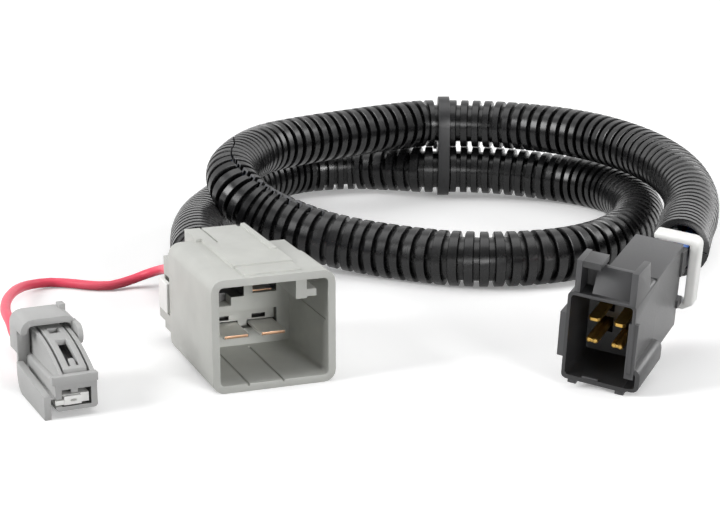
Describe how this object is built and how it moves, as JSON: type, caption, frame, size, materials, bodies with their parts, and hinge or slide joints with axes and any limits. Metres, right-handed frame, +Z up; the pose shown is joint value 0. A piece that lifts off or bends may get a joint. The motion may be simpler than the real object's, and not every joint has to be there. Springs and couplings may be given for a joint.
{
  "type": "trailer brake controller wiring harness",
  "caption": "Looped split-loom harness with a hooded grey power plug, a small latched signal plug on a red wire and a black controller plug with a rear lock.",
  "frame": {"origin": "middle of the footprint of the plugs and the tie, on the surface the harness lies on", "axes": "+Z up; +Y from the plugs' open faces back to the cable tie; +X towards the black controller plug"},
  "size_m": [0.1924, 0.2264, 0.0334],
  "materials": {
    "grey_pbt": "fine moulded satin",
    "mid_grey_pbt": "fine moulded satin",
    "black_pbt": "fine moulded satin",
    "white_nylon": "smooth moulded satin",
    "black_nylon": "smooth satin",
    "black_polyethylene": "satin corrugated",
    "black_pvc": "smooth insulation",
    "white_pvc": "smooth insulation",
    "blue_pvc": "smooth insulation",
    "red_pvc": "smooth insulation",
    "tinned_brass": "bright tin plate",
    "brass": "bright stamped"
  },
  "bodies": {
    "harness": {"loom_conduit": "black_polyethylene", "cable_tie": "black_nylon", "battery_wire": "black_pvc", "ground_wire": "white_pvc", "brake_wire": "blue_pvc", "signal_wire": "red_pvc", "power_housing": "grey_pbt", "power_blade_left": "tinned_brass", "power_blade_right": "tinned_brass", "power_terminal_upper": "tinned_brass", "signal_housing": "mid_grey_pbt", "signal_terminal": "tinned_brass", "controller_housing": "black_pbt", "controller_pin_upper_left": "brass", "controller_pin_upper_right": "brass", "controller_pin_lower_left": "brass", "controller_pin_lower_right": "brass"},
    "power_lock": {"power_lock": "white_nylon"},
    "signal_latch": {"signal_latch": "mid_grey_pbt"},
    "signal_lock": {"signal_lock": "white_nylon"},
    "controller_lock": {"controller_lock": "white_nylon"}
  },
  "joints": [
    {"name": "signal_latch_press", "type": "hinge", "parent": "harness", "child": "signal_latch", "pos_m": [-0.06309, -0.10784, 0.00972], "axis": [-0.9063, -0.4226, 0], "range_deg": [0, 4], "stiffness_Nm_per_rad": 0.05},
    {"name": "signal_lock_pull", "type": "slide", "parent": "harness", "child": "signal_lock", "axis": [0.4226, -0.9063, 0], "range_m": [0, 0.0015]},
    {"name": "power_lock_push", "type": "slide", "parent": "harness", "child": "power_lock", "axis": [0.9342, 0.3567, 0], "range_m": [0, 0.0016]},
    {"name": "controller_lock_push", "type": "slide", "parent": "harness", "child": "controller_lock", "axis": [-0.4317, -0.889, -0.153], "range_m": [0, 0.002]}
  ]
}
